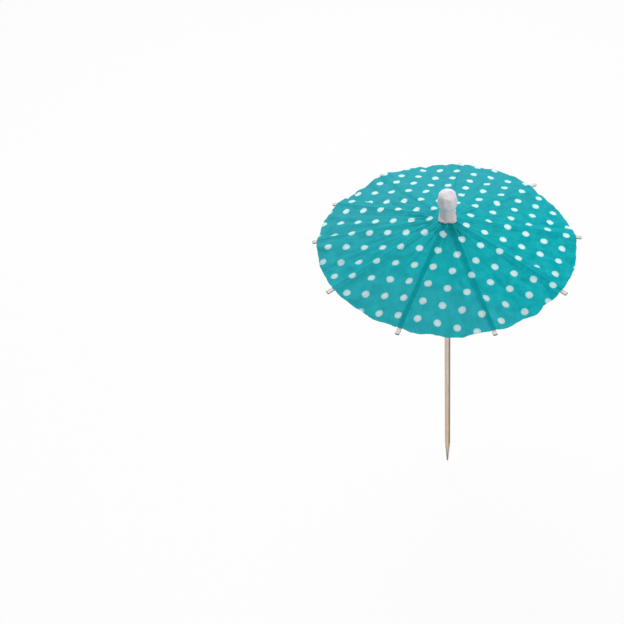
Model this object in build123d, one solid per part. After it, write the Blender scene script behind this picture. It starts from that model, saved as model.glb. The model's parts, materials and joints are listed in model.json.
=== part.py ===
from build123d import *

import os
from math import asin, atan, atan2, cos, hypot, radians, sin, tan

# A paper cocktail umbrella on a wooden pick, standing open.
# Millimetres and degrees. +Z runs up along the pick, and the origin is on the pick's axis
# at the lower end of its round shank, where the point begins.

# Wooden pick
STICK_LENGTH = 150.0
STICK_DIAMETER = 2.4
POINT_LENGTH = 13.0
POINT_DIAMETER = 0.6
SHANK_LENGTH = 70.0
HEAD_LENGTH = 6.6
HEAD_DIAMETER = 2.3
HEAD_CHAMFER = 0.25

# Card ribs, folded down from the top edge of the collar and spaced by hand, as turns from +X
RIB_ANGLES = (4, 46, 84, 122, 152, 179, 212, 250, 289, 327)
RIB_LENGTH = 50.4
RIB_THICKNESS = 0.5
RIB_WIDTH = 1.6
RIB_ROOT_WIDTH = 1.0
RIB_TAPER_LENGTH = 16.0
RIB_CORNER_RADIUS = 0.3
OPEN_SLOPE = 14.0

# Card stretchers, each with its far end glued under a rib as a tab
STRETCHER_REACH = 23.0
STRETCHER_THICKNESS = 0.35
STRETCHER_WIDTH = 1.4
STRETCHER_ROOT_WIDTH = 1.0
TAB_LENGTH = 6.0

# Rolled sleeves on the pick, from the top down
COLLAR_WALL = 1.3
COLLAR_LENGTH = 4.5
RUNNER_LENGTH = 6.0
RING_LENGTH = 3.0
RING_WALL = 0.6
LAP_STEP = 0.16

# Paper canopy: a flat disc of paper with a crease on every rib and one between ribs
PAPER_RADIUS = 51.0
PAPER_THICKNESS = 0.1
PAPER_HOLE_RADIUS = 3.2
PLEAT_RELIEF = 1.8

# Droop of the rim half-way between two ribs, below the flat panel from rib to rib, starting after the first rib
PANEL_SAGS = (1.0, 0.3, 0.5, 0.9, 0.8, 0.7, 1.0, 1.2, 1.2, 1.3)

# Paper finial cap on the pick's head
CAP_HEIGHT = 13.2
CAP_HEM_DIAMETER = 7.2
CAP_NECK_DIAMETER = 6.1
CAP_NECK_HEIGHT = 2.4
CAP_BULB_DIAMETER = 7.8
CAP_BULB_HEIGHT = 7.4
CAP_SHOULDER_DIAMETER = 6.4
CAP_SHOULDER_HEIGHT = 11.2
CAP_TOP_DIAMETER = 3.4

# Flats where the cap is pinched: turn from +X, tilt up from level, and depth of the flat
CAP_FLATS = (
    (205, 8, 0.40),
    (258, 12, 0.45),
    (312, 6, 0.35),
    (5, 14, 0.45),
    (62, 8, 0.35),
    (110, 15, 0.45),
    (158, 5, 0.35),
    (235, 48, 0.40),
    (325, 56, 0.45),
    (45, 50, 0.40),
    (140, 58, 0.45),
)

# Clearances
GLUE_GAP = 0.03
FOLD_GAP = 0.07
SLIDE_GAP = 0.06
PIVOT_GAP = 0.15
SEAT_GAP = 0.15

# Values worked out from the sizes above
rib_count = len(RIB_ANGLES)
stick_radius = STICK_DIAMETER / 2
stick_top = STICK_LENGTH - POINT_LENGTH
slope = radians(OPEN_SLOPE)


def half_gap(index, side):
    """Half the turn from one rib to its neighbour on that side, 1 for anticlockwise or -1."""
    neighbour = RIB_ANGLES[(index + side) % rib_count]
    return radians(side * (neighbour - RIB_ANGLES[index]) % 360) / 2


def fold_angle(half, fall):
    """The angle on the paper from a rib's crease to the crease half-way to the next rib."""
    return atan2(tan(half) * cos(slope), cos(fall) + tan(half) * sin(slope) * sin(fall))


def panel_fall(index, side):
    """The angle by which the paper falls away on one side of a rib's crease, with its droop."""
    half = half_gap(index, side)
    flat_fall = atan(sin(slope) * tan(half))
    sag = PANEL_SAGS[index if side > 0 else index - 1]
    return flat_fall + asin(sag / (PAPER_RADIUS * sin(fold_angle(half, flat_fall))))


collar_radius = stick_radius + GLUE_GAP + COLLAR_WALL
fold_radius = collar_radius + FOLD_GAP
fold_height = stick_top - HEAD_LENGTH

# The stretcher's fold under the rib, and the fold at the runner that mirrors the rib's own fold
pivot_radius = fold_radius + STRETCHER_REACH * cos(slope) - STRETCHER_THICKNESS * sin(slope)
pivot_height = fold_height - STRETCHER_REACH * sin(slope) - STRETCHER_THICKNESS * cos(slope)
runner_height = 2 * pivot_height - fold_height
stretcher_rise = atan2(pivot_height - runner_height, pivot_radius - fold_radius)
stretcher_length = (pivot_radius - fold_radius) / cos(stretcher_rise)

runner_bore = stick_radius + SLIDE_GAP
runner_radius = fold_radius - STRETCHER_THICKNESS - PIVOT_GAP

# All creases meet in one apex on the pick's axis, high enough for the steepest panel to clear its rib
steepest_fall = max(panel_fall(index, 1) for index in range(rib_count))
crease_height = RIB_THICKNESS + PAPER_THICKNESS + GLUE_GAP + RIB_WIDTH / 2 * tan(steepest_fall)
apex_offset = (fold_radius + crease_height * sin(slope)) / cos(slope)
apex_height = fold_height + fold_radius * tan(slope) + crease_height / cos(slope)
cap_base = apex_height - PAPER_HOLE_RADIUS * tan(slope) + SEAT_GAP


def rib_plane(index):
    """The plane of one rib's underside: origin on its fold, X along the rib, Z out of its top."""
    turn = radians(RIB_ANGLES[index])
    out = Vector(cos(turn), sin(turn), 0)
    up = Vector(0, 0, 1)
    origin = out * fold_radius + up * fold_height
    along = out * cos(slope) - up * sin(slope)
    normal = out * sin(slope) + up * cos(slope)
    return Plane(origin=origin, x_dir=along, z_dir=normal)


def stretcher_plane(index):
    """The plane of one stretcher's underside: origin on its fold at the runner, X towards the rib."""
    turn = radians(RIB_ANGLES[index])
    out = Vector(cos(turn), sin(turn), 0)
    up = Vector(0, 0, 1)
    origin = out * fold_radius + up * runner_height
    along = out * cos(stretcher_rise) + up * sin(stretcher_rise)
    normal = up * cos(stretcher_rise) - out * sin(stretcher_rise)
    return Plane(origin=origin, x_dir=along, z_dir=normal)


def rolled_tube(bore_radius, outer_radius, bottom, length):
    """A tube rolled from a strip: its outline spirals, and the strip's end leaves one step."""
    drop = LAP_STEP / 2
    outline = [
        CenterArc((0, 0), outer_radius, 0, 180),
        CenterArc((-drop, 0), outer_radius - drop, 180, 180),
        Line((outer_radius - LAP_STEP, 0), (outer_radius, 0)),
    ]
    section = make_face(outline) - Circle(bore_radius)
    return Pos(0, 0, bottom) * extrude(section, length)


def make_stick():
    """The pick: a turned point, a round shank, and a slight taper up to the chamfered head."""
    tip_radius = POINT_DIAMETER / 2
    head_radius = HEAD_DIAMETER / 2
    profile = Polyline(
        (0, -POINT_LENGTH),
        (tip_radius, -POINT_LENGTH),
        (stick_radius, 0),
        (stick_radius, SHANK_LENGTH),
        (head_radius, stick_top - HEAD_CHAMFER),
        (head_radius - HEAD_CHAMFER, stick_top),
        (0, stick_top),
        close=True,
    )
    return revolve(Plane.XZ * make_face(profile), Axis.Z)


def make_cap():
    """The paper cap: a turned form with a flared hem and a round crown, pinched flat, over the head."""
    hem = CAP_HEM_DIAMETER / 2
    neck = CAP_NECK_DIAMETER / 2
    bulb = CAP_BULB_DIAMETER / 2
    shoulder = CAP_SHOULDER_DIAMETER / 2
    crown = CAP_TOP_DIAMETER / 2
    side = Spline(
        (hem, 0),
        (neck, CAP_NECK_HEIGHT),
        (bulb, CAP_BULB_HEIGHT),
        (shoulder, CAP_SHOULDER_HEIGHT),
        (crown, CAP_HEIGHT),
        tangents=[(-0.5, 1), (-1, 0.35)],
    )
    outline = [
        side,
        Line((crown, CAP_HEIGHT), (0, CAP_HEIGHT)),
        Line((0, CAP_HEIGHT), (0, 0)),
        Line((0, 0), (hem, 0)),
    ]
    cap = revolve(Plane.XZ * make_face(outline), Axis.Z)
    for turn, tilt, depth in CAP_FLATS:
        cap = pinch(cap, radians(turn), radians(tilt), depth)
    socket_radius = stick_radius + GLUE_GAP
    socket_depth = stick_top + GLUE_GAP - cap_base
    cap -= extrude(Circle(socket_radius), socket_depth)
    return Pos(0, 0, cap_base) * cap


def pinch(body, turn, tilt, depth):
    """Cut one flat on the bulb or crown, square to a direction turned and tilted from +X."""
    across = CAP_BULB_DIAMETER / 2 * cos(tilt)
    above = (CAP_HEIGHT - CAP_BULB_HEIGHT) * sin(tilt)
    normal = Vector(cos(turn) * cos(tilt), sin(turn) * cos(tilt), sin(tilt))
    centre = Vector(0, 0, CAP_BULB_HEIGHT)
    flat = Plane(origin=centre + normal * (hypot(across, above) - depth), z_dir=normal)
    return split(body, bisect_by=flat, keep=Keep.BOTTOM)


def make_collar():
    """The rolled card collar glued to the pick, whose top edge the ribs fold over."""
    bottom = fold_height - COLLAR_LENGTH
    return rolled_tube(stick_radius + GLUE_GAP, collar_radius, bottom, COLLAR_LENGTH)


def make_spacer():
    """The rolled paper spacer between the collar and the open runner."""
    bottom = runner_height + SEAT_GAP
    length = fold_height - COLLAR_LENGTH - bottom
    return rolled_tube(stick_radius + GLUE_GAP, runner_radius, bottom, length)


def make_runner():
    """The rolled card runner that slides on the pick and carries the stretchers."""
    return rolled_tube(runner_bore, runner_radius, runner_height - RUNNER_LENGTH, RUNNER_LENGTH)


def make_ring():
    """The short tube under the runner that grips the pick and holds the umbrella open."""
    top = runner_height - RUNNER_LENGTH - SEAT_GAP
    section = Circle(runner_bore + RING_WALL) - Circle(runner_bore)
    return Pos(0, 0, top - RING_LENGTH) * extrude(section, RING_LENGTH)


def make_rib():
    """One card rib in its own plane: narrow at the fold, full width past its taper."""
    root = RIB_ROOT_WIDTH / 2
    full = RIB_WIDTH / 2
    outline = Polyline(
        (0, -root),
        (RIB_TAPER_LENGTH, -full),
        (RIB_LENGTH, -full),
        (RIB_LENGTH, full),
        (RIB_TAPER_LENGTH, full),
        (0, root),
        close=True,
    )
    rib = extrude(make_face(outline), RIB_THICKNESS)
    tip_corners = rib.edges().filter_by(Axis.Z).group_by(Axis.X)[-1]
    return fillet(tip_corners, RIB_CORNER_RADIUS)


def make_tab():
    """The end of a stretcher strip that is glued flat under its rib, in the rib's plane."""
    tab = Pos(STRETCHER_REACH + TAB_LENGTH / 2, 0) * Rectangle(TAB_LENGTH, STRETCHER_WIDTH)
    return extrude(tab, -STRETCHER_THICKNESS)


def make_stretcher():
    """One card stretcher in its own plane, from the runner's fold to the fold under the rib."""
    root = STRETCHER_ROOT_WIDTH / 2
    full = STRETCHER_WIDTH / 2
    end = stretcher_length - FOLD_GAP
    outline = Polyline((0, -root), (end, -full), (end, full), (0, root), close=True)
    return extrude(make_face(outline), STRETCHER_THICKNESS)


def make_panel(index, side):
    """Half a canopy panel in the rib's plane, from the rib's crease to the crease between ribs."""
    fall = panel_fall(index, side)
    normal = Vector(0, side * sin(fall), cos(fall))
    apex = Vector(-apex_offset, 0, crease_height)
    sheet = Plane(origin=apex, x_dir=(1, 0, 0), z_dir=normal)
    reach = fold_angle(half_gap(index, side), fall) - radians(PLEAT_RELIEF)

    def at(radius, angle):
        return (radius * cos(angle), side * radius * sin(angle))

    inner = PAPER_HOLE_RADIUS / cos(slope)
    outline = [
        Line((inner, side * FOLD_GAP), (PAPER_RADIUS, side * FOLD_GAP)),
        ThreePointArc((PAPER_RADIUS, side * FOLD_GAP), at(PAPER_RADIUS, reach / 2), at(PAPER_RADIUS, reach)),
        Line(at(PAPER_RADIUS, reach), at(inner, reach)),
        Line(at(inner, reach), (inner, side * FOLD_GAP)),
    ]
    return extrude(sheet * make_face(outline), PAPER_THICKNESS, dir=-normal)


def main():
    os.makedirs("parts", exist_ok=True)
    parts = {
        "stick": make_stick(),
        "finial_cap": make_cap(),
        "rib_collar": make_collar(),
        "spacer_roll": make_spacer(),
        "runner": make_runner(),
        "retaining_ring": make_ring(),
    }
    rib = make_rib()
    tab = make_tab()
    stretcher = make_stretcher()
    for index in range(rib_count):
        number = f"{index + 1:02d}"
        on_rib = Location(rib_plane(index))
        parts[f"rib_{number}"] = on_rib * rib
        parts[f"stretcher_tab_{number}"] = on_rib * tab
        parts[f"stretcher_{number}"] = Location(stretcher_plane(index)) * stretcher
        parts[f"paper_left_{number}"] = on_rib * make_panel(index, 1)
        parts[f"paper_right_{number}"] = on_rib * make_panel(index, -1)
    for name, solid in parts.items():
        export_step(solid, os.path.join("parts", f"{name}.step"))


if __name__ == "__main__":
    main()
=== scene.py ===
import json
import math

import bpy
from bpy.props import FloatProperty, FloatVectorProperty, PointerProperty
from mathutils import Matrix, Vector, noise


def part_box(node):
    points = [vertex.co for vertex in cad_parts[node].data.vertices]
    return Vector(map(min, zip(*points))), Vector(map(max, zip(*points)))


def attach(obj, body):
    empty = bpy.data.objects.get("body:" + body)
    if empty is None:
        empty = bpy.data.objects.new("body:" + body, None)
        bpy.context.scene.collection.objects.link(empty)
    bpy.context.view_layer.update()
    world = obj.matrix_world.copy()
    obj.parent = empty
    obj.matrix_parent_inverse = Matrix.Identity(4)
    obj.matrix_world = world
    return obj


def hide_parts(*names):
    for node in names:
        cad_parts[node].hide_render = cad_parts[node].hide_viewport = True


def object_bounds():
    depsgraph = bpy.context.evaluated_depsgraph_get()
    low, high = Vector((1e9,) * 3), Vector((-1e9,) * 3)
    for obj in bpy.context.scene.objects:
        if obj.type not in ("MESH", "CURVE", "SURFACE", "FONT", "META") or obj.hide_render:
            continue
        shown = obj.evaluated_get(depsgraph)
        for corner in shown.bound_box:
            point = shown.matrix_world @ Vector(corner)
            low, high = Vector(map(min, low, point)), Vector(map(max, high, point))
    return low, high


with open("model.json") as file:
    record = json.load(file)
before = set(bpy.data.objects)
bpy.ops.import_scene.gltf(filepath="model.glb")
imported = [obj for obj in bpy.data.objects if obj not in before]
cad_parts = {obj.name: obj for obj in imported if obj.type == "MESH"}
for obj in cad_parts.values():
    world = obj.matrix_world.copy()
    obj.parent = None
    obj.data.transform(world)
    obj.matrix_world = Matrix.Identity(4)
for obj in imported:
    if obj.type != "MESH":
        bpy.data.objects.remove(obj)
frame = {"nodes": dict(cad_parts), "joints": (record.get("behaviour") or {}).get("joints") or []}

CAD_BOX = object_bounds()

bl_info = {
    "name": "Paper drink umbrella",
    "version": (1, 0, 0),
    "blender": (4, 5, 0),
    "location": "3D View > Sidebar > Umbrella",
    "description": "Dresses the folding frame of a paper drink umbrella: canopy, cap, pick and stage",
    "category": "Object",
}

MM = 0.001
JOINTS = {joint["name"]: joint for joint in frame["joints"]}
RIB_COUNT = sum(name.startswith("rib_fold_") for name in JOINTS)
RIBS = range(1, RIB_COUNT + 1)
RIB_FOLDS = [JOINTS[f"rib_fold_{rib:02d}"]["pos_m"] for rib in RIBS]
RIB_TURNS = [math.atan2(fold[1], fold[0]) for fold in RIB_FOLDS]

# Every crease over a rib runs down the slope from one apex on the pick's axis.
CREASE_AXIS = Vector(JOINTS["pleat_left_01"]["axis"])
CREASE_POINT = Vector(JOINTS["pleat_left_01"]["pos_m"])
SLOPE = math.asin(-CREASE_AXIS.z)
APEX = CREASE_POINT - CREASE_AXIS * (CREASE_POINT.x / CREASE_AXIS.x)
PAPER_RADIUS = max((v.co - APEX).length for v in frame["nodes"]["paper_left_01"].data.vertices)
PAPER_HOLE = min((v.co - APEX).length for v in frame["nodes"]["paper_left_01"].data.vertices)
SHEET_SPAN = 2.4 * PAPER_RADIUS
SHEET_COLUMNS = 40
SHEET_ROWS = 70
CREASE_ANGLE = math.radians(40)
# The last column of a sheet lies past the panel's middle, in the pinched fold under it.
PAST_MIDDLE = 1.001
# What each point of a sheet carries: distance from its rib in mm, how strongly the rib's band of glue and
# painted shade shows, and 1 on the left, where the painted highlight goes
MARKS = ("from_rib", "glue", "left_side")

FLOOR_HEIGHT = CAD_BOX[0].z
RIM_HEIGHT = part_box("rib_01")[0].z
RIB_TIP = max(v.co.xy.length for v in frame["nodes"]["rib_01"].data.vertices)
RIB_SIDE = Vector((-math.sin(RIB_TURNS[0]), math.cos(RIB_TURNS[0]), 0))
RIB_HALF_WIDTH = max(v.co.dot(RIB_SIDE) for v in frame["nodes"]["rib_01"].data.vertices)
CAP_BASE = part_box("finial_cap")[0].z
CAP_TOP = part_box("finial_cap")[1].z
CAP_HEIGHT = CAP_TOP - CAP_BASE
STICK_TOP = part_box("stick")[1].z
STICK_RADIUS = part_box("stick")[1].x

# Creases left from folding the paper: panel, place across it from rib to rib, and step down in mm
OLD_FOLDS = (
    (1, 0.16, 0.7), (1, 0.88, 0.4), (2, 0.10, 0.3), (3, 0.50, 0.4), (4, 0.77, 1.0), (4, 0.34, 0.3),
    (5, 0.88, 0.4), (6, 0.70, 0.5), (6, 0.93, 0.4), (7, 0.06, 0.3), (7, 0.47, 0.4), (8, 0.10, 0.3),
    (8, 0.45, 0.3), (9, 0.10, 0.4), (9, 0.50, 0.4), (9, 0.92, 0.4), (10, 0.17, 1.0), (10, 0.93, 0.3),
)
# Half a step's width and the slow rise after it, in mm, and the shares of the radius where it deepens
FOLD_HALF_WIDTH = 0.8
FOLD_RECOVERY = 5
FOLD_GROWS = (0.08, 0.75)

# Corners left by the scissors along the rim: turn from +X in degrees, and how far each stands out in mm
RIM_CORNERS = (
    (57, 1.0), (72, -0.7), (106, 0.6), (117, 0.6), (133, -0.5), (167, 0.4), (230, -0.5), (237, 0.3),
    (246, -0.3), (258, 0.5), (264, -0.5), (276, 0.45), (296, 0.5), (304, -0.8), (310, 0.5), (316, -0.4),
)
CORNER_WIDTH = math.radians(5)
# Share of straight cuts in the rim, and how deep and wide it is notched over a rib
STRAIGHT_CUTS = 0.6
NOTCH_DEPTH = 0.3 * MM
NOTCH_WIDTH = 1.6 * MM
# Where the scissors strayed and snipped: waves round the rim, no change outwards, start of the noise
RIM_STRAYS = (17, 0, 4)
RIM_SNIPS = (40, 0, 6)
STRAY_SHARE = 0.6
SNIP_SHARE = 1.2
SNIP_LEAST = 0.25

# Wrinkles that run out from the cap: waves round the sheet, change per mm outwards, start of the noise
FINE_WRINKLES = (16, 0.035, 0)
SOFT_WRINKLES = (7, 0.02, 9)
SHARP_WRINKLES = (4.5, 0.015, 20)
WRINKLE_SHARES = (0.7, 0.7, 0.6)

# Unevenness of one size all over the sheet: waves per mm, start of the noise
SLOW_WAVES = (0.085, 3)
GRAIN = (0.45, 5)
PATCHES = (0.2, 7)
WEB = (0.13, 11)
# Creased lines: waves round the sheet, waves per mm, start of the noise
CREASED_LINES = (6, 0.06, 14)
CRUMPLE_SHARES = {"grain": 0.4, "web": 1.2, "lines": 1.3}

# Paper beside a rib, in mm from its middle: where the ridge ends, the tuck lies and the sheet hangs free
RIDGE_EDGE = (0.8, 1.1)
TUCK_EDGE = (0.8, 1.7)
TUCK_WIDTH = 2.2
FREE_EDGE = (0.8, 2.4)
FREE_OF_FOLD = 2.0 * MM
# Depth of a tuck near the cap, anywhere and where the rib's band of glue and painted shade shows, and the
# shares of the radius near the cap
TUCK_BY_CAP = 0.9
TUCK_LEAST = 0.2
TUCK_BY_GLUE_AND_SHADE = 0.5
BY_CAP = (0.15, 0.5)
# Distance from the apex in mm over which ridge and tuck come out from under the cap
CLEAR_OF_CAP = (3.5, 8)

# Painted light over the print, a lighter sheen on the teal and whiter dots: direction on the flat sheet,
# shares of its radius from start to end, strength
SHEEN = ((-0.94, 0.34, 0), -0.7, -0.15, 0.8)
LIT_BEHIND = ((-0.5, 0.87, 0), -0.39, 0.78, 0.87)
LIT_IN_FRONT = ((-0.35, -0.94, 0), 0.43, 0.7, 0.45)
LIT_DOTS = ((0.35, 0.94, 0), -0.55, 0.15, 1.0)
MOTTLE = 0.1

# Band of glue and painted shade over a rib, in mm: half width of the dark band, growth with strength, and
# how far the painted highlight lies beside it
GLUE_AND_SHADE_WIDTH = 0.27
GLUE_AND_SHADE_GROWTH = 0.58
HIGHLIGHT_AWAY = 0.35


class CanopyPaper(bpy.types.PropertyGroup):
    """Form and print of the pleated paper canopy."""

    sag: FloatVectorProperty(
        name="Sag", description="Droop of each panel's rim half-way between two ribs",
        default=[mm * MM for mm in (1.0, 0.3, 0.5, 0.9, 0.8, 0.7, 1.0, 1.2, 1.2, 1.3)],
        size=RIB_COUNT, unit="LENGTH", precision=5)
    pleat_share: FloatProperty(
        name="Pleat share", description="Part of the sag that is the old fold along a panel's middle",
        default=0.2, subtype="FACTOR")
    pleat_width: FloatProperty(
        name="Pleat width", description="Half the width of that fold at the rim",
        default=2.4 * MM, unit="LENGTH", precision=5)
    ridge_height: FloatProperty(
        name="Ridge height", description="Rise of the paper glued over a rib",
        default=0.06 * MM, unit="LENGTH", precision=5)
    tuck_depth: FloatVectorProperty(
        name="Tuck depth", description="Dip of the paper beside each rib",
        default=[mm * MM for mm in (0.2, 0.4, 0.4, 0.4, 0.3, 0.35, 0.4, 0.4, 0.4, 0.22)],
        size=RIB_COUNT, unit="LENGTH", precision=5)
    fold_step: FloatProperty(
        name="Fold step", description="Scale of the creases left from folding the paper",
        default=1.0 * MM, unit="LENGTH", precision=5)
    crinkle: FloatProperty(
        name="Crinkle", description="Height of the wrinkles that run out from the cap",
        default=0.5 * MM, unit="LENGTH", precision=5)
    wave: FloatProperty(
        name="Wave", description="Height of the slow unevenness of the sheet",
        default=0.35 * MM, unit="LENGTH", precision=5)
    crumple: FloatProperty(
        name="Crumple", description="Height of the small creases all over the sheet",
        default=0.28 * MM, unit="LENGTH", precision=5)
    rim_at_ribs: FloatVectorProperty(
        name="Rim at ribs", description="Radius of the cut rim over each rib",
        default=[mm * MM for mm in (51.2, 50.0, 51.8, 51.8, 51.6, 51.7, 50.8, 51.0, 51.7, 51.2)],
        size=RIB_COUNT, unit="LENGTH", precision=5)
    rim_at_middles: FloatVectorProperty(
        name="Rim at middles", description="Radius of the cut rim half-way between ribs",
        default=[mm * MM for mm in (50.8, 53.4, 53.2, 51.4, 51.9, 51.1, 50.2, 51.2, 51.0, 51.4)],
        size=RIB_COUNT, unit="LENGTH", precision=5)
    rim_wander: FloatProperty(
        name="Rim wander", description="How far the hand-cut rim strays from its circle",
        default=0.32 * MM, unit="LENGTH", precision=5)
    # The dark band over each rib is partly glue and partly painted shade; its strength also deepens the
    # tuck.
    glue_and_shade_strength: FloatVectorProperty(
        name="Glue", description="How strongly the glue over each rib shows through the paper",
        default=(0.3, 0.15, 0.3, 0.05, 0.5, 0.35, 0.3, 1.0, 0.9, 0.5), size=RIB_COUNT)
    thickness: FloatProperty(
        name="Thickness", description="Thickness of the paper",
        default=0.06 * MM, unit="LENGTH", precision=5)
    lap_at_hub: FloatProperty(
        name="Lap at hub", description="Depth of the pinched fold under a panel's middle, by the cap",
        default=1.0 * MM, unit="LENGTH", precision=5)
    lap_at_rim: FloatProperty(
        name="Lap at rim", description="Depth of the pinched fold under a panel's middle, at the rim",
        default=0.08 * MM, unit="LENGTH", precision=5)
    lap_bend: FloatProperty(
        name="Lap bend", description="How far the pinched fold is bent down from the panel",
        default=math.radians(50), subtype="ANGLE")
    dot_pitch: FloatProperty(
        name="Dot pitch", description="Spacing of the printed dots",
        default=7.4 * MM, unit="LENGTH", precision=5)
    dot_diameter: FloatProperty(
        name="Dot diameter", description="Diameter of a printed dot",
        default=2.8 * MM, unit="LENGTH", precision=5)
    dot_turn: FloatProperty(
        name="Dot turn", description="Angle of the rows of dots on the sheet",
        default=math.radians(75.7), subtype="ANGLE")
    dot_offset: FloatVectorProperty(
        name="Dot offset", description="Place of the first dot, in pitches along and across the rows",
        default=(-0.08, -0.04), size=2)
    print_colour: FloatVectorProperty(
        name="Print", description="Teal print", default=(0.001, 0.345, 0.395), subtype="COLOR")
    worn_colour: FloatVectorProperty(
        name="Pale print", description="Teal where the ink lies thin",
        default=(0.014, 0.465, 0.51), subtype="COLOR")
    # Painted sheen: lighter teal towards the left of the sheet.
    sheen_colour: FloatVectorProperty(
        name="Faded print", description="Teal on the side of the sheet that has faded",
        default=(0.008, 0.396, 0.434), subtype="COLOR")
    # Painted light: lighter teal towards the back and the front left of the sheet.
    lit_print_colour: FloatVectorProperty(
        name="Bleached print", description="Teal where the light has bleached it most",
        default=(0.037, 0.376, 0.44), subtype="COLOR")
    # Teal of the band over a rib, which is partly glue and partly painted shade.
    glue_and_shade_colour: FloatVectorProperty(
        name="Glued print", description="Teal over a glued rib",
        default=(0.001, 0.27, 0.31), subtype="COLOR")
    dot_colour: FloatVectorProperty(
        name="Dot", description="Bare white paper of a dot", default=(0.76, 0.75, 0.76), subtype="COLOR")
    # Painted light: dots towards the back of the sheet get this whiter colour, and elsewhere the plain dot
    # colour is their shaded copy.
    lit_dot_colour: FloatVectorProperty(
        name="Clean dot", description="Bare paper of a dot on the clean side of the sheet",
        default=(0.94, 0.96, 0.965), subtype="COLOR")
    soak_tint: FloatVectorProperty(
        name="Dot edge", description="Tint of a dot's edge, where the ink has soaked in",
        default=(0.56, 0.98, 1.0), subtype="COLOR")
    back_colour: FloatVectorProperty(
        name="Back of the print", description="Paler teal on the underside",
        default=(0.16, 0.52, 0.54), subtype="COLOR")


class CapPaper(bpy.types.PropertyGroup):
    """Form and finish of the pinched paper cap."""

    hem_radius: FloatProperty(
        name="Hem radius", description="Radius of the flared hem",
        default=3.45 * MM, unit="LENGTH", precision=5)
    neck_radius: FloatProperty(
        name="Neck radius", description="Radius where the cap is drawn in",
        default=3.05 * MM, unit="LENGTH", precision=5)
    bulb_radius: FloatProperty(
        name="Bulb radius", description="Greatest radius of the cap",
        default=3.85 * MM, unit="LENGTH", precision=5)
    crumple: FloatProperty(
        name="Crumple", description="Height of the small creases",
        default=0.12 * MM, unit="LENGTH", precision=5)
    paper_colour: FloatVectorProperty(
        name="Paper", description="White paper of the cap", default=(0.92, 0.895, 0.92), subtype="COLOR")
    shade_colour: FloatVectorProperty(
        name="Shaded paper", description="Paper in the creases",
        default=(0.79, 0.735, 0.76), subtype="COLOR")
    # Painted warm shade round the neck, against the teal light bounced up from the canopy.
    warm_shade_colour: FloatVectorProperty(
        name="Stain", description="Glue stain round the neck", default=(0.85, 0.69, 0.71), subtype="COLOR")


class PickWood(bpy.types.PropertyGroup):
    """Finish of the turned wooden pick."""

    pale_colour: FloatVectorProperty(
        name="Pale wood", description="Early wood", default=(1.0, 0.80, 0.65), subtype="COLOR")
    dark_colour: FloatVectorProperty(
        name="Dark wood", description="Late wood and pores", default=(0.91, 0.66, 0.51), subtype="COLOR")
    # Painted shade down one side of the pick; the same colour darkens the wood towards the point.
    shade_and_point_colour: FloatVectorProperty(
        name="Streak", description="Dark streak down one side", default=(0.24, 0.18, 0.13), subtype="COLOR")
    warm_tint: FloatVectorProperty(
        name="Warm tint", description="Tint of the redder wood towards the point",
        default=(1.0, 0.92, 0.82), subtype="COLOR")
    grain: FloatProperty(
        name="Grain", description="Spacing of the grain lines",
        default=0.45 * MM, unit="LENGTH", precision=5)


class FrameCard(bpy.types.PropertyGroup):
    """Finish of the card strips, the rolled tubes and the ring."""

    card_colour: FloatVectorProperty(
        name="Card", description="White face of the card", default=(0.80, 0.79, 0.78), subtype="COLOR")
    core_colour: FloatVectorProperty(
        name="Core", description="Grey core seen at the cut ends",
        default=(0.10, 0.095, 0.09), subtype="COLOR")
    newsprint_colour: FloatVectorProperty(
        name="Newsprint", description="Recycled paper of the spacer",
        default=(0.52, 0.48, 0.40), subtype="COLOR")
    ring_colour: FloatVectorProperty(
        name="Ring", description="Clear plastic of the retaining ring",
        default=(0.9, 0.93, 0.93), subtype="COLOR")


class StudioStage(bpy.types.PropertyGroup):
    """Camera, light and floor."""

    elevation: FloatProperty(
        name="Elevation", description="Height of the camera above the rim, as an angle",
        default=math.radians(40.69), subtype="ANGLE")
    distance: FloatProperty(
        name="Distance", description="Distance of the camera from the middle of the rim",
        default=412 * MM, unit="LENGTH")
    lens: FloatProperty(
        name="Lens", description="Focal length on a 36 mm sensor, in millimetres", default=62.2)
    shift: FloatVectorProperty(
        name="Shift", description="Lens shift that sets the object to the right of the picture",
        default=(-0.2171, -0.1085), size=2)
    key_power: FloatProperty(
        name="Key light", description="Power of the large lamp above and behind", default=2.1, unit="POWER")
    sky: FloatProperty(
        name="Sky", description="Strength of the even light all round", default=0.43)
    floor_colour: FloatVectorProperty(
        name="Floor", description="White floor", default=(0.9, 0.9, 0.9), subtype="COLOR")


class UmbrellaSettings(bpy.types.PropertyGroup):
    """All that a user would change."""

    canopy: PointerProperty(type=CanopyPaper)
    cap: PointerProperty(type=CapPaper)
    wood: PointerProperty(type=PickWood)
    card: PointerProperty(type=FrameCard)
    stage: PointerProperty(type=StudioStage)


def smooth_step(low, high, value):
    """Rises smoothly from 0 at low to 1 at high."""
    part = min(max((value - low) / (high - low), 0), 1)
    return part * part * (3 - 2 * part)


def colour(rgb):
    """A colour property as a socket value."""
    return (*rgb, 1)


def put(tree, kind, feeds=None, **settings):
    """Adds a node with its settings and feeds its inputs with values or other outputs."""
    node = tree.nodes.new(kind)
    for name, value in settings.items():
        setattr(node, name, value)
    for name, value in (feeds or {}).items():
        feed(tree, node.inputs[name], value)
    return node


def feed(tree, socket, value):
    """Links an output to a socket, or sets the socket's value."""
    if isinstance(value, bpy.types.NodeSocket):
        tree.links.new(value, socket)
    else:
        socket.default_value = value


def calc(tree, operation, *values):
    """A Math node's result."""
    return put(tree, "ShaderNodeMath", dict(enumerate(values)), operation=operation).outputs[0]


def times(tree, *values):
    """The product of two values or more."""
    product = values[0]
    for value in values[1:]:
        product = calc(tree, "MULTIPLY", product, value)
    return product


def vector_calc(tree, operation, *values, result="Vector"):
    """A Vector Math node's result."""
    return put(tree, "ShaderNodeVectorMath", dict(enumerate(values)), operation=operation).outputs[result]


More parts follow.
